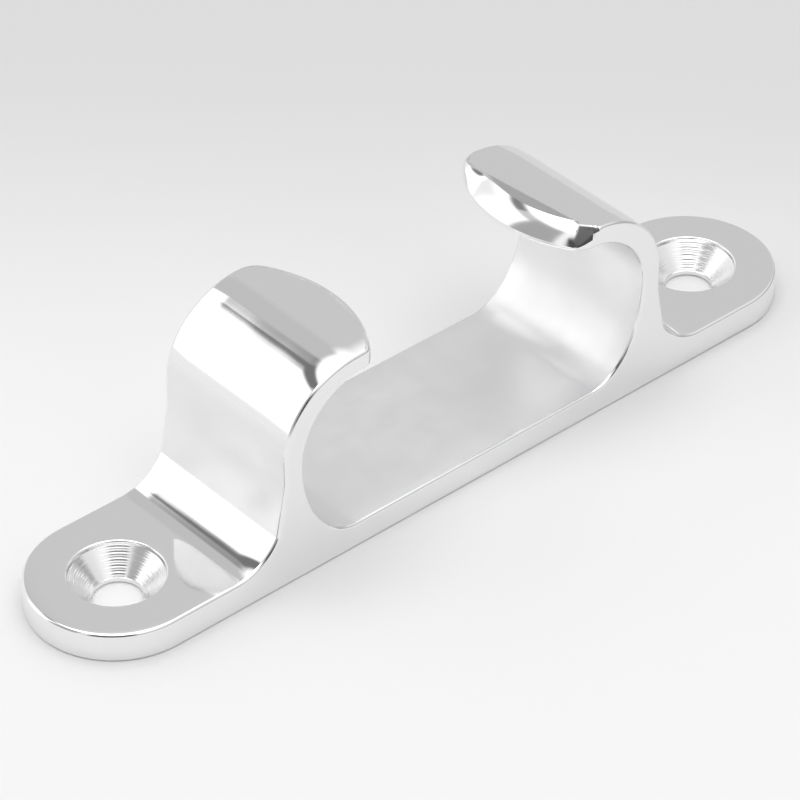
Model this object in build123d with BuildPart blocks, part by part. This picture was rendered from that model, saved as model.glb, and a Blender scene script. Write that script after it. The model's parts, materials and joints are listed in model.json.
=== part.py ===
"""Straight bow chock: one cast and polished stainless steel body.

Two feet with countersunk screw holes carry two horns that curl in over a rope channel.
The rope drops in through the mouth between the horn tips and runs along Y.

Frame, in millimetres: the underside lies on Z = 0 with its centre at the origin,
X runs along the body from foot to foot, Y is the direction of the rope, Z is up.
The body is the same on both sides of the XZ plane and of the YZ plane.
"""
from build123d import *
from math import sqrt
import os

os.makedirs("parts", exist_ok=True)

# ---- Driving dimensions --------------------------------------------------------------
body_length = 127.0          # overall, along X
body_width = 24.4            # overall, along Y; the foot ends are half circles of this width
body_height = 31.4

foot_thickness = 4.4         # under the screw heads
floor_thickness = 3.9        # under the rope
floor_half_length = 21.0     # flat part of the rope channel's floor, from the centre

screw_hole_radius = 3.3      # clearance for an M6 or 1/4 inch screw
countersink_radius = 6.4
countersink_angle = 90.0

wall_outer_x = 33.1          # the horns' outer walls, from the centre
wall_thickness = 3.25
horn_thickness = 3.3         # of the curled-over part, at its tip
outer_curl_radius = 12.3
inner_curl_radius = 10.4
sweep_length = 8.3           # of the hollow sweep from foot to outer wall, along X
sweep_height = 8.9           # of the same sweep, along Z

mouth_width = 29.0           # between the horn tips, at the middle of the body's width
tip_arc_radius = 20.0        # of each tip's convex end, seen from above
tip_corner_radius = 2.4      # of a tip's corners, seen from above
edge_radius = 0.6            # rounding of every outer edge above the underside
underside_edge_radius = 0.3

# ---- Sizes that follow from them -----------------------------------------------------
half_length = body_length / 2
half_width = body_width / 2
screw_spacing = body_length - body_width

outer_curl_x = wall_outer_x - outer_curl_radius
outer_curl_z = body_height - outer_curl_radius
wall_inner_x = wall_outer_x - wall_thickness
inner_curl_x = wall_inner_x - inner_curl_radius
horn_underside_z = body_height - horn_thickness
inner_curl_z = horn_underside_z - inner_curl_radius
sweep_x = wall_outer_x + sweep_length
sweep_z = foot_thickness + sweep_height

mouth_half = mouth_width / 2
tip_arc_centre_x = mouth_half + tip_arc_radius
tip_corner_x = tip_arc_centre_x - sqrt(tip_arc_radius**2 - half_width**2)
mouth_cut_z = horn_underside_z - inner_curl_radius / 2

# ---- The body ------------------------------------------------------------------------
with BuildPart() as chock_body:
    # Side profile of the +X half, mirrored to the other half.
    with BuildSketch(Plane.XZ):
        with BuildLine():
            Polyline(
                (0, floor_thickness),
                (0, 0),
                (half_length, 0),
                (half_length, foot_thickness),
                (sweep_x, foot_thickness),
            )
            EllipticalCenterArc((sweep_x, sweep_z), sweep_length, sweep_height, 180, arc_size=90)
            Line((wall_outer_x, sweep_z), (wall_outer_x, outer_curl_z))
            CenterArc((outer_curl_x, outer_curl_z), outer_curl_radius, 0, 90)
            Polyline(
                (outer_curl_x, body_height),
                (0, body_height),
                (0, horn_underside_z),
                (inner_curl_x, horn_underside_z),
            )
            CenterArc((inner_curl_x, inner_curl_z), inner_curl_radius, 0, 90)
            EllipticalCenterArc(
                (floor_half_length, inner_curl_z),
                wall_inner_x - floor_half_length,
                inner_curl_z - floor_thickness,
                270,
                arc_size=90,
            )
            Line((floor_half_length, floor_thickness), (0, floor_thickness))
        make_face()
        mirror(about=Plane.YZ)
    extrude(amount=half_width, both=True)

    # Seen from above, the ends of the feet are half circles.
    with BuildSketch():
        SlotOverall(body_length, body_width)
    extrude(amount=body_height, mode=Mode.INTERSECT)

    # The mouth, whose two sides are the convex ends of the horn tips.
    with BuildSketch(Plane.XY.offset(mouth_cut_z)):
        with BuildLine():
            right_tip = ThreePointArc(
                (tip_corner_x, -half_width), (mouth_half, 0), (tip_corner_x, half_width)
            )
            left_tip = ThreePointArc(
                (-tip_corner_x, half_width), (-mouth_half, 0), (-tip_corner_x, -half_width)
            )
            Line(right_tip @ 1, left_tip @ 0)
            Line(left_tip @ 1, right_tip @ 0)
        make_face()
    extrude(amount=body_height, mode=Mode.SUBTRACT)
    tip_corners = chock_body.edges().filter_by(Axis.Z).group_by(Axis.Z)[-1]
    fillet(tip_corners, tip_corner_radius)

    # Round the whole outline of the front and back faces above the underside. The rounding
    # runs on along the tips and the ends of the feet, which meet those faces smoothly.
    outline = chock_body.faces().filter_by(Axis.Y).edges()
    fillet(outline.filter_by_position(Axis.Z, floor_thickness, body_height), edge_radius)
    underside = chock_body.faces().sort_by(Axis.Z)[0]
    fillet(underside.outer_wire().edges(), underside_edge_radius)

    # Countersunk screw holes, each at the centre of its foot's round end.
    with Locations((-screw_spacing / 2, 0, foot_thickness), (screw_spacing / 2, 0, foot_thickness)):
        CounterSinkHole(screw_hole_radius, countersink_radius, counter_sink_angle=countersink_angle)

chock_body.part.label = "chock_body"
export_step(chock_body.part, "parts/chock_body.step")
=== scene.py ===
"""Looks for the straight bow chock: one cast body of polished stainless steel.

The casting is rebuilt as a finer mesh than the CAD solid's, in the same place and to the
same sizes. It adds what the finishing leaves: faces that dip a little towards narrow edge
breaks, a slight ridge over each sweep, two horn tips that differ, and turned rings in the
countersinks.

Shapes are worked out in millimetres and scaled to metres when a mesh is made.
"""

import json
from math import asin, cos, pi, radians, sin, sqrt

import bmesh
import bpy
import numpy as np
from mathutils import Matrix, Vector


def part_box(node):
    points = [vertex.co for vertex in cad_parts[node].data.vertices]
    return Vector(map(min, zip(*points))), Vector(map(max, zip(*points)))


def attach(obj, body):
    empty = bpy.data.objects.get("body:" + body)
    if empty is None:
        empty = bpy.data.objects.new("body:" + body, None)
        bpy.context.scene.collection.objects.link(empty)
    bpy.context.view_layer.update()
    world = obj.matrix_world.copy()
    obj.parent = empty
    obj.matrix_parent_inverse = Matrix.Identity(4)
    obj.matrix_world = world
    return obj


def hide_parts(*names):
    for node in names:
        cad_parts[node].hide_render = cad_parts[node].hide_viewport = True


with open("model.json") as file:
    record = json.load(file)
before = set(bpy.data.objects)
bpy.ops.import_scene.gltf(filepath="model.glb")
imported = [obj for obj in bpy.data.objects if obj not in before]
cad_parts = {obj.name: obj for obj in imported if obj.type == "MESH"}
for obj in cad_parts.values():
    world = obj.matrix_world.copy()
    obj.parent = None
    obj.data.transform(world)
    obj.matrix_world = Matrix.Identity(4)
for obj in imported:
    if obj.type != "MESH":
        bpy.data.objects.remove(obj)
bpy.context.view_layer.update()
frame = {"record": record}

MM = 0.001

# ---- Sizes from the frame --------------------------------------------------------------
body_low, body_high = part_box("chock_body")
half_width = body_high.y / MM
body_height = body_high.z / MM
screw_dims = next(m["dims"] for m in frame["record"]["mounts"] if m["name"] == "screw_holes")
hole_x = screw_dims["spacing_x_mm"] / 2
hole_radius = screw_dims["hole_r_mm"]

# ---- Side profile of the +X half ---------------------------------------------------------
# The CAD solid's, but for the ridge, the wall's lean and the slope of the horn's top.
foot_thickness = 4.4
floor_thickness = 3.9
floor_half_length = 21.0
wall_outer_x = 33.1
wall_inner_x = 29.85
horn_thickness = 3.3
horn_underside = body_height - horn_thickness
outer_curl_radius = 12.3
inner_curl_radius = 10.4
sweep_size = (8.3, 8.9)
outer_curl = (wall_outer_x - outer_curl_radius, body_height - outer_curl_radius)
inner_curl = (wall_inner_x - inner_curl_radius, horn_underside - inner_curl_radius)
inner_curl_start = 78.0      # degrees up from level where its arc takes over from the tip
sweep_centre = (wall_outer_x + sweep_size[0], foot_thickness + sweep_size[1])
ridge_turn = 213.8           # where on the sweep its polish meets the wall's, in a slight ridge
lean_end_z = 14.6            # the wall leans in evenly from the ridge up to here
wall_straight_z = 16.6       # and is upright from here to the curl
top_rise = 0.2               # of the horn's top from the end of the curl to the tip
curl_end = (outer_curl[0], body_height - top_rise)

# ---- Horn tips ---------------------------------------------------------------------------
# The two tips were finished by hand and differ. Corners are radii seen from above, at the
# front and the back. A nose break goes in from the edge and down the tip's end. A front roll
# is the depth of the roll-off, described below, along the front edge of the horn's top. The
# finish is that of the breaks round the tip's end.
tip_x = 14.5
tip_radius = 20.0
tips = {
    "left": {
        "corners": (1.6, 3.6), "nose": (0.6, 0.6), "chamfer": 0.0,
        "front_roll": 0.44, "finish": 0.0,
    },
    "right": {
        "corners": (3.0, 4.6), "nose": (2.6, 2.4), "chamfer": 0.68,
        "front_roll": 0.14, "finish": 0.14,
    },
}
nose_fade = (6.5, 12.0)      # where along Y a wide nose break narrows towards the back

# The polished flat on the right tip's front corner: which way it faces, in degrees from -Y
# and from +Z, a point on it, how softly it starts, and how far from the point it reaches.
flat_facing = (-43.0, 50.0)
flat_centre = (18.3, -10.1, 30.12)
flat_softness = 0.05
flat_reach = 4.0

# ---- Edge breaks, in from the edge and down its side -------------------------------------
edge_break = 0.45
underside_break = 0.3
tip_lower_break = 0.5

# ---- Roll-off: how buffing dips each polished face towards its edges ---------------------
roll_width = 3.8
roll_depth = 0.13
roll_grows = (45.0, 90.0)    # degrees round the curl over which a tip's front roll sets in

# ---- Countersinks ------------------------------------------------------------------------
countersink_radius = 6.4
countersink_lip = 0.55       # depth at which the cone starts
lip_radius = 0.3
lip_inset = 0.05             # of the cone's start, from the lip
cone_shortfall = 0.1         # by which the cone falls less than the step in radius
cone_end_drop = 0.12         # over which its end meets the hole's wall
ring_pitch = 0.36
ring_depth = 0.005
ring_fade = 0.04             # share of the cone at each end where the rings fade out
chatter = (1.7, 0.7, 1.0)    # a coarser wave over the rings: times pitch, times depth, phase
hole_exit_radius = 0.2
hole_exit_start = 0.4        # height of the last row of points above its rounding

# ---- Finishes: how coarse the surface is, from 0 to 1 ------------------------------------
MIRROR = 0.0
EDGE = 0.1
GROUND = 0.3
TURNED = 0.35
SATIN = 0.66
BLASTED = 1.0
wall_dulls = (12.0, 16.0)    # height over which the wall goes from satin to blasted
wall_clears = (21.5, 24.5)   # height over which it goes on to the shoulder's mirror

# ---- Mesh density ------------------------------------------------------------------------
tip_steps = 96
upper_break_steps = 16
lower_break_steps = 6
cap_steps = 20
ring_rows = 72
end_steps = 48
side_steps = 16
sweep_points = 25
lean_points = 10
bend_points = 8
upright_points = 5
curl_points = 49
inner_curl_points = 33
inner_corner_points = 37
floor_points = 12
lip_points = 10
hole_exit_points = 9
foot_rows = 13
base_rows = 5
foot_side_rows = 4
tip_end_rows = 3
merge_distance = 0.0002      # millimetres


# ---- Curves ------------------------------------------------------------------------------
def arc(centre, radii, start, end, count, side=1):
    """Points (x, z) of an elliptical arc with its unit normals, which side -1 turns inwards."""
    turn = np.radians(np.linspace(start, end, count))
    points = np.c_[centre[0] + radii[0] * np.cos(turn), centre[1] + radii[1] * np.sin(turn)]
    normals = np.c_[np.cos(turn) / radii[0], np.sin(turn) / radii[1]]
    return points, side * normals / np.linalg.norm(normals, axis=1)[:, None]


def line(start, end, normal, count):
    """Points (x, z) of a straight run with its normal."""
    points = np.linspace(start, end, count)
    return points, np.tile(np.array(normal, float), (count, 1))


def joined(*runs):
    """Runs end to end, without the points that two of them share."""
    points = np.vstack([runs[0][0]] + [run[0][1:] for run in runs[1:]])
    normals = np.vstack([runs[0][1]] + [run[1][1:] for run in runs[1:]])
    return points, normals


def smooth_step(value):
    """0 to 1 with level ends, for a value from 0 to 1."""
    value = np.clip(value, 0, 1)
    return value * value * (3 - 2 * value)


def ramp(value, start, end):
    """0 before start to 1 past end, with level ends."""
    return smooth_step((value - start) / (end - start))


def between(first, last, count):
    """Rows of points from the first to the last, evenly spaced."""
    return [first + (last - first) * share for share in np.linspace(0, 1, count)]


def outer_height(x):
    """Height of the horn's top over x, where it runs on from the curl to the tip."""
    return body_height - top_rise * (np.asarray(x, float) - tip_x) / (curl_end[0] - tip_x)


def inner_height(x):
    """Height of the horn's underside over x."""
    over = np.maximum(np.asarray(x, float) - inner_curl[0], 0)
    return inner_curl[1] + np.sqrt(inner_curl_radius**2 - over**2)


def tip_outline(corners):
    """Plan of the tip from the front side to the back: points, outward normals and nose share.

    The share is 0 where a corner leaves the side face and 1 on the convex end.
    """
    end_centre_x = tip_x + tip_radius
    corner_steps = tip_steps // 4
    runs = []
    for side, radius in zip((-1, 1), corners):
        corner_y = half_width - radius
        reach = tip_radius - radius
        corner_x = end_centre_x - sqrt(reach**2 - corner_y**2)
        spread = asin(corner_y / reach)
        turn = np.linspace(pi / 2, spread, corner_steps + 1)
        normals = np.c_[-np.cos(turn), side * np.sin(turn)]
        runs.append((normals * radius + [corner_x, side * corner_y], normals, spread))
    front, back = runs
    turn = np.linspace(front[2], -back[2], tip_steps - 2 * corner_steps + 1)[1:-1]
    end_normals = np.c_[-np.cos(turn), -np.sin(turn)]
    end = end_normals * tip_radius + [end_centre_x, 0]
    points = np.vstack([front[0], end, back[0][::-1]])
    normals = np.vstack([front[1], end_normals, back[1][::-1]])
    along = np.linspace(0, 1, tip_steps + 1)
    nose = smooth_step(np.minimum(along, 1 - along) / (corner_steps / tip_steps))
    return points, normals, nose


# ---- Mesh building -----------------------------------------------------------------------
class Patches:
    """Grids of quads that meet edge to edge, gathered and then merged into one mesh."""

    def __init__(self):
        self.points = []
        self.faces = []
        self.finishes = []
        self.count = 0

    def grid(self, rows, finish=MIRROR):
        """Quads over rows x columns x 3 points, with one finish or one for each row."""
        rows = np.asarray(rows, float)
        high, wide = rows.shape[:2]
        index = self.count + np.arange(high * wide).reshape(high, wide)
        quads = np.stack([index[:-1, :-1], index[1:, :-1], index[1:, 1:], index[:-1, 1:]], axis=-1)
        finishes = np.broadcast_to(np.reshape(finish, (-1, 1)), quads.shape[:2])
        self.points.append(rows.reshape(-1, 3))
        self.faces.append(quads.reshape(-1, 4))
        self.finishes.append(finishes.ravel())
        self.count += high * wide

    def add(self, other, mirrored=False):
        """Takes in another set of patches, mirrored in the YZ plane if asked."""
        for points, faces in zip(other.points, other.faces):
            self.points.append(points * np.array([-1, 1, 1]) if mirrored else points)
            self.faces.append((faces[:, ::-1] if mirrored else faces) + self.count)
        self.finishes += other.finishes
        self.count += other.count

    def mesh(self, name):
        """One closed mesh in metres. Its two open loops, front and back, become flat faces."""
        made = bmesh.new()
        coarseness = made.faces.layers.float.new("coarseness")
        corners = [made.verts.new(p) for p in np.vstack(self.points) * MM]
        for face, finish in zip(np.vstack(self.faces), np.concatenate(self.finishes)):
            made.faces.new([corners[i] for i in face])[coarseness] = finish
        bmesh.ops.remove_doubles(made, verts=made.verts, dist=merge_distance * MM)
        bmesh.ops.dissolve_degenerate(made, edges=made.edges, dist=merge_distance * MM)
        loops = [edge for edge in made.edges if edge.is_boundary]
        sides = bmesh.ops.holes_fill(made, edges=loops, sides=0)
        for face in sides["faces"]:
            face[coarseness] = GROUND
        bmesh.ops.recalc_face_normals(made, faces=made.faces)
        open_edges = sum(not e.is_manifold for e in made.edges)
        if open_edges:
            raise RuntimeError(f"{name} has {open_edges} open edges")
        mesh = bpy.data.meshes.new(name)
        made.to_mesh(mesh)
        made.free()
        return mesh


def rolled(points, normals, depth=roll_depth):
    """Points of a face moved in along its normals, by how near they are to its edge.

    depth has one value, or two of them for the front and the back.
    """
    front, back = np.broadcast_arrays(*depth) if isinstance(depth, tuple) else (depth, depth)
    past_hole = np.maximum(np.abs(points[..., 0]) - hole_x, 0)
    room = half_width - np.hypot(past_hole, points[..., 1])
    near = np.clip(1 - room / roll_width, 0, 1)
    depth = np.where(points[..., 1] < 0, front, back)
    return points - normals * (depth * near**2)[..., None]


def edge_round(edge, side_normal, top_normal, inset, drop, depth, steps, chamfer=0.0):
    """Rows from the top surface to the side face, over a square edge.

    The shape goes from a round to a flat chamfer as chamfer goes from 0 to 1.
    """
    rows = []
    for share in np.linspace(0, 1, steps + 1):
        out = chamfer * share + (1 - chamfer) * sin(share * pi / 2)
        sunk = chamfer * share + (1 - chamfer) * (1 - cos(share * pi / 2))
        inward = (inset * (1 - out))[:, None] * side_normal
        down = (drop * sunk)[:, None] * top_normal
        rows.append(rolled(edge - inward, top_normal, depth) - down)
    return rows


def ribbon(patches, path, breaks, y_share, finish, steps, depth=roll_depth):
    """The surface over a side profile, right across the body, with both its edge breaks.

    breaks and depth have one value, or one for each point of the profile.
    """
    points, normals = path
    breaks = breaks + np.zeros(len(points))
    depth = depth + np.zeros(len(points))
    reach = half_width - breaks
    rows = np.empty((len(points), len(y_share), 3))
    rows[:, :, 0] = points[:, :1]
    rows[:, :, 1] = reach[:, None] * y_share[None, :]
    rows[:, :, 2] = points[:, 1:]
    top_normal = np.c_[normals[:, 0], np.zeros(len(points)), normals[:, 1]]
    back = np.minimum(depth, roll_depth)
    patches.grid(rolled(rows, top_normal[:, None, :], (depth[:, None], back[:, None])), finish)
    for side in (-1, 1):
        edge = np.c_[points[:, 0], np.full(len(points), side * half_width), points[:, 1]]
        side_normal = np.tile([0, side, 0], (len(points), 1))
        rows = edge_round(edge, side_normal, top_normal, breaks, breaks, (depth, back), steps)
        patches.grid(rows, EDGE)


def tip_cap(
    patches, tip, start_x, y_share, height, normal, inset, drop, finish, steps,
    chamfer=0.0, roll=roll_depth,
):
    """The end of a horn on one of its faces: from the ribbon's last row to the tip's edge.

    Gives the row where the tip's upright end begins.
    """
    plan, plan_normals, _ = tip_outline(tip["corners"])
    edge = np.c_[plan, height(plan[:, 0])]
    side_normal = np.c_[plan_normals, np.zeros(len(plan))]
    top_normal = np.tile(normal, (len(plan), 1))
    inner = edge - inset[:, None] * side_normal
    start_y = (half_width - edge_break) * y_share
    start = np.c_[np.full(len(plan), start_x), start_y, np.zeros(len(plan))]
    depth = (roll, min(roll, roll_depth))
    rows = []
    for share in np.linspace(0, 1, cap_steps + 1):
        row = (1 - share) * start + share * inner
        row[:, 2] = height(row[:, 0])
        rows.append(rolled(row, top_normal, depth))
    patches.grid(rows, finish)
    breaks = edge_round(edge, side_normal, top_normal, inset, drop, depth, steps, chamfer)
    patches.grid(breaks, tip["finish"])
    for side, end in ((-1, 0), (1, -1)):
        x = np.linspace(start_x, plan[end, 0], cap_steps + 1)
        run_edge = np.c_[x, np.full(len(x), side * half_width), height(x)]
        run_side = np.tile([0, side, 0], (len(x), 1))
        run_top = np.tile(normal, (len(x), 1))
        share = np.linspace(0, 1, cap_steps + 1)
        run_inset = (1 - share) * edge_break + share * inset[end]
        run_drop = (1 - share) * edge_break + share * drop[end]
        patches.grid(edge_round(run_edge, run_side, run_top, run_inset, run_drop, depth, steps))
    return breaks[-1]


def foot_outline(inset, y_share, z):
    """Closed loop round the flat of the foot, from the sweep's foot and back to it."""
    reach = half_width - inset
    across = np.c_[np.full(len(y_share), sweep_centre[0]), reach * y_share]
    side_x = np.linspace(sweep_centre[0], hole_x, side_steps + 1)[1:]
    back = np.c_[side_x, np.full(side_steps, reach)]
    turn = np.linspace(pi / 2, -pi / 2, end_steps + 1)[1:]
    end = np.c_[hole_x + reach * np.cos(turn), reach * np.sin(turn)]
    front = np.c_[side_x[::-1][1:], np.full(side_steps - 1, -reach)]
    loop = np.vstack([across, back, end, front, across[:1]])
    return np.c_[loop, np.full(len(loop), z)]


def foot_edge():
    """The foot's square edge from the front of the sweep round the end to the back of it."""
    side_x = np.linspace(sweep_centre[0], hole_x, side_steps + 1)
    turn = np.linspace(-pi / 2, pi / 2, end_steps + 1)
    front = np.c_[side_x, np.full(side_steps + 1, -half_width)]
    end = np.c_[hole_x + half_width * np.cos(turn), half_width * np.sin(turn)]
    points = np.vstack([front, end[1:-1], front[::-1] * np.array([1, -1])])
    normals = np.vstack([
        np.tile([0, -1], (side_steps + 1, 1)),
        np.c_[np.cos(turn), np.sin(turn)][1:-1],
        np.tile([0, 1], (side_steps + 1, 1)),
    ])
    return points, np.c_[normals, np.zeros(len(points))]


def hole_profile():
    """Radius and height down the countersink and the hole, to the foot's underside."""
    rim = countersink_radius
    profile = []
    for turn in np.linspace(0, pi / 2, lip_points):
        out = lip_radius * (1 - np.sin(turn))
        profile.append((rim + out, foot_thickness - lip_radius * (1 - np.cos(turn))))
    lip_foot = foot_thickness - countersink_lip
    cone_depth = rim - hole_radius - cone_shortfall
    chatter_pitch, chatter_depth, chatter_phase = chatter
    for share in np.linspace(0, 1, ring_rows):
        down = share * cone_depth
        fade = ramp(share, 0, ring_fade) * ramp(1 - share, 0, ring_fade)
        turns = 2 * pi * down * sqrt(2)
        wave = np.sin(turns / ring_pitch)
        wave += chatter_depth * np.sin(turns / (chatter_pitch * ring_pitch) + chatter_phase)
        out = ring_depth * fade * wave
        profile.append((rim - lip_inset - down - out / sqrt(2), lip_foot - down + out / sqrt(2)))
    profile.append((hole_radius, lip_foot - cone_depth - cone_end_drop))
    profile.append((hole_radius, hole_exit_start))
    for turn in np.linspace(0, pi / 2, hole_exit_points):
        out = hole_exit_radius * (1 - np.cos(turn))
        profile.append((hole_radius + out, hole_exit_radius * (1 - np.sin(turn))))
    return profile


def lower_wall(start):
    """The wall from the ridge over the sweep: an even lean, then a bend to upright."""
    bend = wall_straight_z - lean_end_z
    slope = (start[0] - wall_outer_x) / (lean_end_z - start[1] + bend / 2)
    lean_z = np.linspace(start[1], lean_end_z, lean_points)
    bend_z = np.linspace(lean_end_z, wall_straight_z, bend_points)
    z = np.concatenate([lean_z, bend_z[1:]])
    left = np.clip((wall_straight_z - z) / bend, 0, 1)
    x = wall_outer_x + slope * (np.maximum(lean_end_z - z, 0) + bend / 2 * left**2)
    normals = np.c_[np.ones(len(z)), slope * left]
    return np.c_[x, z], normals / np.linalg.norm(normals, axis=1)[:, None]


def upper_curl():
    """The shoulder's outside, from the upright wall to where the horn's top takes over."""
    slope = top_rise / (curl_end[0] - tip_x)
    last = 90 - np.degrees(np.arctan(slope))
    points, normals = arc(outer_curl, (outer_curl_radius,) * 2, 0, last, curl_points)
    reach = (points[-1] - points[0]) / (np.array(curl_end) - (wall_outer_x, outer_curl[1]))
    return points[0] + (points - points[0]) / reach, normals


def build_half(tip):
    """The +X half of the body with one of the tips."""
    patches = Patches()
    y_share = np.sin(np.linspace(-pi / 2, pi / 2, tip_steps + 1))

    # Outer surface: up the sweep and the wall and over the shoulder, then the horn's top.
    sweep = arc(sweep_centre, sweep_size, 270, ridge_turn, sweep_points, side=-1)
    upright_ends = (wall_outer_x, wall_straight_z), (wall_outer_x, outer_curl[1])
    outer = joined(
        sweep,
        lower_wall(sweep[0][-1]),
        line(*upright_ends, (1, 0), upright_points),
        upper_curl(),
    )
    outer_x, outer_z = outer[0].T
    row_z = (outer_z[1:] + outer_z[:-1]) / 2
    is_wall = (row_z > sweep[0][-1, 1]) & (outer_x[1:] < sweep_centre[0] - sweep_size[0] / 2)
    dull = SATIN + (BLASTED - SATIN) * ramp(row_z, *wall_dulls)
    finish = np.where(is_wall, dull * (1 - ramp(row_z, *wall_clears)), MIRROR)
    over_curl = np.degrees(np.arctan2(outer_z - outer_curl[1], outer_x - outer_curl[0]))
    grow = ramp(over_curl, *roll_grows) * (outer_z > outer_curl[1])
    front_roll = roll_depth + (tip["front_roll"] - roll_depth) * grow
    ribbon(patches, outer, edge_break, y_share, finish, upper_break_steps, front_roll)
    plan, _, nose = tip_outline(tip["corners"])
    width = nose * (1 - ramp(plan[:, 1], *nose_fade))
    inset = edge_break + (tip["nose"][0] - edge_break) * width
    drop = edge_break + (tip["nose"][1] - edge_break) * width
    top_normal = (outer[1][-1, 0], 0, outer[1][-1, 1])
    upper = tip_cap(
        patches, tip, curl_end[0], y_share, outer_height, top_normal,
        inset, drop, MIRROR, upper_break_steps, tip["chamfer"] * width, tip["front_roll"],
    )

    # Inner surface: from the horn's underside round the curl and down to the floor's middle.
    # The curl's arc starts at the end of the tip's own underside.
    corner_centre = (floor_half_length, inner_curl[1])
    corner_size = (wall_inner_x - floor_half_length, inner_curl[1] - floor_thickness)
    inner = joined(
        arc(inner_curl, (inner_curl_radius,) * 2, inner_curl_start, 0, inner_curl_points, side=-1),
        arc(corner_centre, corner_size, 360, 270, inner_corner_points, side=-1),
        line((floor_half_length, floor_thickness), (0, floor_thickness), (0, 1), floor_points),
    )
    ribbon(patches, inner, edge_break, y_share, SATIN, lower_break_steps)
    lower_break = np.full(len(plan), tip_lower_break)
    lower = tip_cap(
        patches, tip, inner[0][0, 0], y_share, inner_height, (0, 0, -1),
        lower_break, lower_break, SATIN, lower_break_steps,
    )
    patches.grid(between(upper, lower, tip_end_rows))

    # Foot: flat top round the countersink, the rounded end, and the underside.
    top_loop = foot_outline(edge_break, y_share, foot_thickness)
    angle = np.arctan2(top_loop[:, 1], top_loop[:, 0] - hole_x)
    circle = np.c_[np.cos(angle), np.sin(angle)]
    hole = []
    for radius, z in hole_profile():
        hole.append(np.c_[circle * radius + [hole_x, 0], np.full(len(circle), z)])
    up = np.array([0, 0, 1.0])
    patches.grid([rolled(row, up) for row in between(top_loop, hole[0], foot_rows)])
    patches.grid(hole, TURNED)
    base_loop = foot_outline(underside_break, y_share, 0)
    patches.grid(between(base_loop, hole[-1], base_rows), SATIN)

    edge, edge_normals = foot_edge()
    up = np.tile([0, 0, 1], (len(edge), 1))
    wide = np.full(len(edge), edge_break)
    fine = np.full(len(edge), underside_break)
    top = np.c_[edge, np.full(len(edge), foot_thickness)]
    bottom = np.c_[edge, np.zeros(len(edge))]
    upper = edge_round(top, edge_normals, up, wide, wide, roll_depth, upper_break_steps)
    lower = edge_round(bottom, edge_normals, -up, fine, fine, 0, lower_break_steps)
    patches.grid(upper, EDGE)
    patches.grid(lower, EDGE)
    end = slice(side_steps, side_steps + end_steps + 1)
    patches.grid(between(upper[-1][end], lower[-1][end], foot_side_rows), GROUND)

    # Underside between the feet.
    base = line((sweep_centre[0], 0), (0, 0), (0, -1), floor_points)
    ribbon(patches, base, underside_break, y_share, SATIN, lower_break_steps, 0)
    return patches


def flattened(points):
    """Points with those past the polished flat on the right tip's front corner moved onto it."""
    turn, lift = np.radians(flat_facing)
    facing = np.array([np.sin(turn) * np.sin(lift), -np.cos(turn) * np.sin(lift), np.cos(lift)])
    past = (points - flat_centre) @ facing
    moved = (past + np.sqrt(past**2 + flat_softness**2)) / 2
    near = np.linalg.norm(points - flat_centre, axis=1) < flat_reach
    return points - facing * (moved * near)[:, None]


def build_casting():
    """The whole body as one closed mesh."""
    right = build_half(tips["right"])
    right.points = [flattened(points) for points in right.points]
    whole = Patches()
    whole.add(right)
    whole.add(build_half(tips["left"]), mirrored=True)
    return whole.mesh("chock_casting")


# ---- Material ----------------------------------------------------------------------------
class Nodes:
    """Short calls that add linked nodes to a node tree."""

    def __init__(self, tree):
        self.tree = tree

    def add(self, kind, inputs=(), **settings):
        """A node with its settings, and its inputs by name: a socket to link or a value."""
        node = self.tree.nodes.new(kind)
        for name, value in settings.items():
            setattr(node, name, value)
        for name, value in dict(inputs).items():
            if isinstance(value, bpy.types.NodeSocket):
                self.tree.links.new(value, node.inputs[name])
            else:
                node.inputs[name].default_value = value
        return node

    def math(self, operation, *values):
        """The result of a sum on sockets or values."""
        return self.add("ShaderNodeMath", enumerate(values), operation=operation).outputs[0]

    def scaled(self, value, low, high, to_low, to_high, smooth=False):
        """value's range low to high, mapped to another and held at its ends."""
        inputs = {
            "Value": value, "From Min": low, "From Max": high, "To Min": to_low, "To Max": to_high,
        }
        kind = "SMOOTHSTEP" if smooth else "LINEAR"
        return self.add("ShaderNodeMapRange", inputs, interpolation_type=kind).outputs["Result"]

    def noise(self, vector, stretch, scale, detail=3.0):
        """Noise over a vector whose axes are stretched, from about 0 to 1."""
        mapped = self.add("ShaderNodeMapping", {"Vector": vector, "Scale": stretch})
        inputs = {"Vector": mapped.outputs[0], "Scale": scale, "Detail": detail}
        return self.add("ShaderNodeTexNoise", inputs).outputs["Fac"]


steel_colour = (0.88, 0.88, 0.885, 1)
roughness = (0.055, 0.46)    # at a coarseness of 0 and of 1
noise_range = (0.3, 0.7)     # of the noise that the two effects below spread over
cloud_effect = (0.92, 1.12)  # on the roughness
line_effect = (0.94, 1.08)
cloud_scale = 260.0          # scales are per metre
wave_scale = 95.0
line_scale = 3800.0
upright_scale = 2600.0
ring_scale = 7000.0
line_stretch = 0.03
upright_stretch = 0.025
side_facing = (0.6, 0.9)     # how far a face turns to Y as the lines change to upright ones
ring_drift = 0.02            # how much the rings change on their way round
turned_fade = 0.1            # outside the countersink, where the rings give way to the lines
wave_height = 0.03 * MM
line_height = 0.0022 * MM
turned_strength = 0.8        # of the rings' bump
line_strength = 0.25         # of the lines' bump, up to the coarseness of ground faces
lines_gone = 0.6             # coarseness where that bump has faded out


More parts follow.
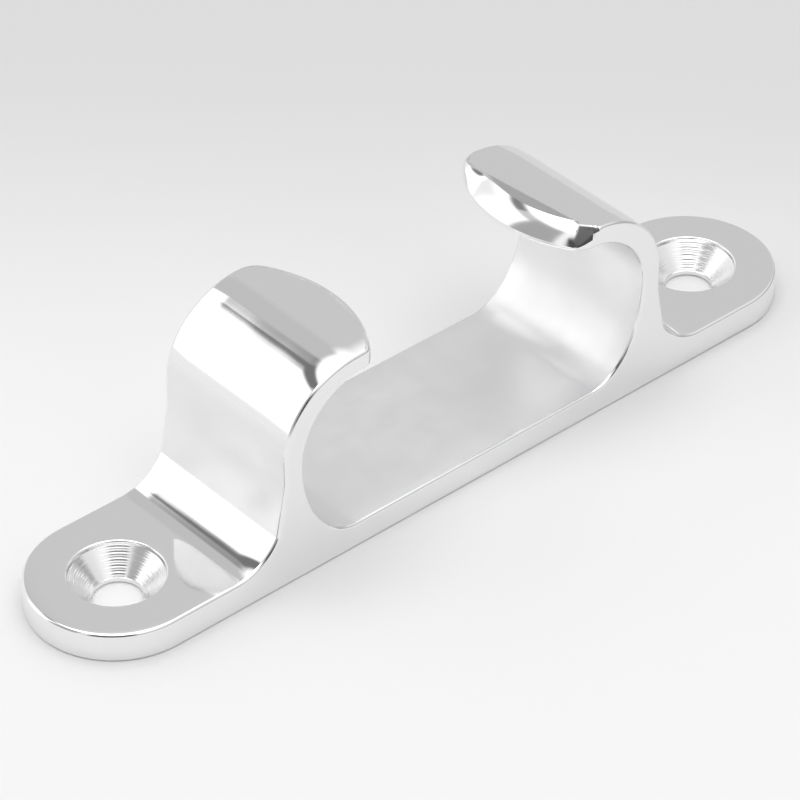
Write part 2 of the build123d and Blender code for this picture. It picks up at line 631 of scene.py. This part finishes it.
def polished_steel():
    """Polished cast stainless steel: mirror outside, satin in the channel, dull outer walls.

    Fine polishing lines run along the body, and upright on the ground front and back.
    The countersinks keep the lines of the cutter that turned them.
    """
    material = bpy.data.materials.new("polished_stainless")
    material.use_nodes = True
    make = Nodes(material.node_tree)
    shader = material.node_tree.nodes["Principled BSDF"]
    place = make.add("ShaderNodeTexCoord").outputs["Object"]
    coarse = make.add("ShaderNodeAttribute", attribute_name="coarseness").outputs["Fac"]
    normal = make.add("ShaderNodeNewGeometry").outputs["Normal"]
    facing = make.add("ShaderNodeSeparateXYZ", {0: normal})
    sideways = make.math("ABSOLUTE", facing.outputs["Y"])
    on_side = make.scaled(sideways, *side_facing, 0.0, 1.0, smooth=True)

    # Clouds, and lines drawn out along X, or upright on the sides.
    clouds = make.noise(place, (1, 1, 1), cloud_scale)
    along = make.noise(place, (line_stretch, 1, 1), line_scale)
    upright = make.noise(place, (1, 1, upright_stretch), upright_scale)
    lines = make.add("ShaderNodeMix", {0: on_side, 2: along, 3: upright}).outputs[0]

    # Rings round the nearer hole, from the distance to its axis.
    x, y, _ = make.add("ShaderNodeSeparateXYZ", {0: place}).outputs
    from_hole = make.math("SUBTRACT", make.math("ABSOLUTE", x), hole_x * MM)
    squares = make.math("ADD", make.math("POWER", from_hole, 2.0), make.math("POWER", y, 2.0))
    from_axis = make.math("SQRT", squares)
    drift = make.math("MULTIPLY", y, ring_drift)
    ring_place = make.add("ShaderNodeCombineXYZ", {0: from_axis, 1: drift})
    rings = make.noise(ring_place.outputs[0], (1, 1, 1), ring_scale, 2.0)
    turned_edge = (countersink_radius + turned_fade) * MM
    turned = make.scaled(from_axis, turned_edge, countersink_radius * MM, 0.0, 1.0)
    lines = make.add("ShaderNodeMix", {0: turned, 2: lines, 3: rings}).outputs[0]

    # Roughness: the finish of each face, cloudier in places and with dull lines.
    rough = make.scaled(coarse, 0.0, 1.0, *roughness)
    rough = make.math("MULTIPLY", rough, make.scaled(clouds, *noise_range, *cloud_effect))
    rough = make.math("MULTIPLY", rough, make.scaled(lines, *noise_range, *line_effect))
    material.node_tree.links.new(rough, shader.inputs["Roughness"])

    # Bump: a slight waviness, and the lines, deepest where turned and gone where satin.
    waves = make.noise(place, (1, 1, 1), wave_scale, 1.0)
    wavy = make.add("ShaderNodeBump", {"Strength": 1.0, "Distance": wave_height, "Height": waves})
    turned_depth = make.math("MULTIPLY", turned, turned_strength)
    line_depth = make.scaled(coarse, GROUND, lines_gone, line_strength, 0.0)
    depth = make.math("ADD", turned_depth, line_depth)
    fine = make.add(
        "ShaderNodeBump",
        {"Strength": depth, "Distance": line_height, "Height": lines, "Normal": wavy.outputs[0]},
    )
    material.node_tree.links.new(fine.outputs[0], shader.inputs["Normal"])
    shader.inputs["Base Color"].default_value = steel_colour
    shader.inputs["Metallic"].default_value = 1.0
    return material


# Painted shade: the far tone darkens the floor towards the back right. It stands in for a shadow
# there and darkens what the horns reflect.
paper_near = (0.88, 0.88, 0.88, 1)
painted_shade_far = (0.68, 0.68, 0.68, 1)
painted_shade_fade = (-0.02, 0.14)   # metres of X plus Y over which the near tone gives way to the painted shade


def paper_with_painted_shade():
    """Matt pale studio paper, with painted shade that greys it towards the back right."""
    material = bpy.data.materials.new("studio_floor")
    material.use_nodes = True
    make = Nodes(material.node_tree)
    shader = material.node_tree.nodes["Principled BSDF"]
    place = make.add("ShaderNodeTexCoord").outputs["Object"]
    x, y, _ = make.add("ShaderNodeSeparateXYZ", {0: place}).outputs
    # painted shade: 0 at the near tone, 1 at the darker far tone, along X plus Y
    shade = make.scaled(make.math("ADD", x, y), *painted_shade_fade, 0.0, 1.0, smooth=True)
    tones = {0: shade, 6: paper_near, 7: painted_shade_far}
    tone = make.add("ShaderNodeMix", tones, data_type="RGBA")
    material.node_tree.links.new(tone.outputs[2], shader.inputs["Base Color"])
    shader.inputs["Roughness"].default_value = 0.9
    return material


# ---- The casting -------------------------------------------------------------------------
sharp_angle = 14
casting = bpy.data.objects.new("chock_casting", build_casting())
bpy.context.scene.collection.objects.link(casting)
for polygon in casting.data.polygons:
    polygon.use_smooth = True
casting.data.set_sharp_from_angle(angle=radians(sharp_angle))
casting.data.materials.append(polished_steel())
weighting = casting.modifiers.new("face_weighted_normals", "WEIGHTED_NORMAL")
weighting.keep_sharp = True
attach(casting, "root")
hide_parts("chock_body")

# ---- Floor -------------------------------------------------------------------------------
floor_mesh = bpy.data.meshes.new("studio_floor")
floor_reach = 3.0
floor_gap = 0.05 * MM
corner_signs = ((-1, -1), (1, -1), (1, 1), (-1, 1))
floor_corners = [(x * floor_reach, y * floor_reach, 0) for x, y in corner_signs]
floor_mesh.from_pydata(floor_corners, [], [(0, 1, 2, 3)])
floor = bpy.data.objects.new("studio_floor", floor_mesh)
floor.location.z = body_low.z - floor_gap
floor_mesh.materials.append(paper_with_painted_shade())
bpy.context.scene.collection.objects.link(floor)


# ---- Light -------------------------------------------------------------------------------
# The studio is a light tent, described by what stands where on the sky. Bearings are in
# degrees clockwise from the camera's side, so 90 is on the camera's left and 180 behind the
# object. Each patch has a bearing range, an elevation range, the width of its soft edge and
# its brightness, and covers the ones before it.
camera_azimuth = -41.257
camera_elevation = 37.675
back_wall = 0.64
tent = {
    "back_wall_top": ((138, 168), (39.0, 62), 4, 0.58),
    "right_wall": ((-150, -30), (-20, 70), 16, 0.85),
    "front_wall": ((-60, 50), (-20, 70), 16, 1.05),
    "low_cards": ((-145, 36), (-20, 24), 8, 0.5),
    "ceiling": ((-400, 400), (60, 100), 5, 2.3),
    "zenith": ((-400, 400), (79, 100), 3, 0.8),
    "ceiling_edge_right": ((-200, -160), (52, 64), 6, 1.2),
    "ceiling_edge_left": ((170, 200), (52, 64), 6, 1.2),
    "left_panel": ((78, 121), (-12, 48.5), 1.5, 1.3),
    "left_panel_end": ((119, 142), (-12, 50.7), 1.0, 1.3),
    "left_panel_foot": ((114, 150), (-14, 38), 6, 0.95),
    "left_dim": ((42, 78), (4, 57), 3, 0.42),
    "gap": ((100, 130), (49.3, 57), 1.2, 0.19),
    "gap_end": ((128, 142.5), (51, 57), 2.2, 0.33),
    "camera_opening": ((-24, 30), (10, 48), 4, 0.07),
}


def tent_light():
    """The world: its brightness by direction, from the list above."""
    world = bpy.data.worlds.new("light_tent")
    world.use_nodes = True
    make = Nodes(world.node_tree)

    def inside(value, low, high, soft):
        """1 between low and high and 0 outside, with soft edges."""
        rises = make.scaled(value, low - soft, low + soft, 0.0, 1.0, smooth=True)
        falls = make.scaled(value, high - soft, high + soft, 1.0, 0.0, smooth=True)
        return make.math("MULTIPLY", rises, falls)

    direction = make.add("ShaderNodeTexCoord").outputs["Generated"]
    turned = make.add(
        "ShaderNodeVectorRotate",
        {"Vector": direction, "Angle": radians(-camera_azimuth)},
        rotation_type="Z_AXIS",
    )
    x, y, z = make.add("ShaderNodeSeparateXYZ", {0: turned.outputs[0]}).outputs
    back_x = make.math("MULTIPLY", x, -1.0)
    back_y = make.math("MULTIPLY", y, -1.0)
    bearing = make.math("DEGREES", make.math("ARCTAN2", back_x, back_y))
    height = make.math("DEGREES", make.math("ARCSINE", z))
    brightness = back_wall
    for (left, right), (bottom, top), soft, level in tent.values():
        across = inside(bearing, left, right, soft)
        mask = make.math("MULTIPLY", across, inside(height, bottom, top, soft))
        keep = make.math("MULTIPLY", brightness, make.math("SUBTRACT", 1.0, mask))
        brightness = make.math("ADD", keep, make.math("MULTIPLY", mask, level))
    background = world.node_tree.nodes["Background"]
    background.inputs["Color"].default_value = (1, 1, 1, 1)
    world.node_tree.links.new(brightness, background.inputs["Strength"])
    return world


bpy.context.scene.world = tent_light()
bpy.context.scene.view_settings.view_transform = "Standard"

# ---- Camera ------------------------------------------------------------------------------
camera_aim = Vector((0.00026, 0.00377, 0.00389))
camera_distance = 0.5473
camera_lens = 182.1
sensor_width = 36
camera = bpy.data.objects.new("camera", bpy.data.cameras.new("camera"))
camera.data.lens = camera_lens
camera.data.sensor_width = sensor_width
turn, lift = radians(camera_azimuth), radians(camera_elevation)
back = Vector((sin(turn) * cos(lift), -cos(turn) * cos(lift), sin(lift)))
camera.location = camera_aim + back * camera_distance
camera.rotation_mode = "QUATERNION"
camera.rotation_quaternion = (-back).to_track_quat("-Z", "Y")
bpy.context.scene.collection.objects.link(camera)
bpy.context.scene.camera = camera
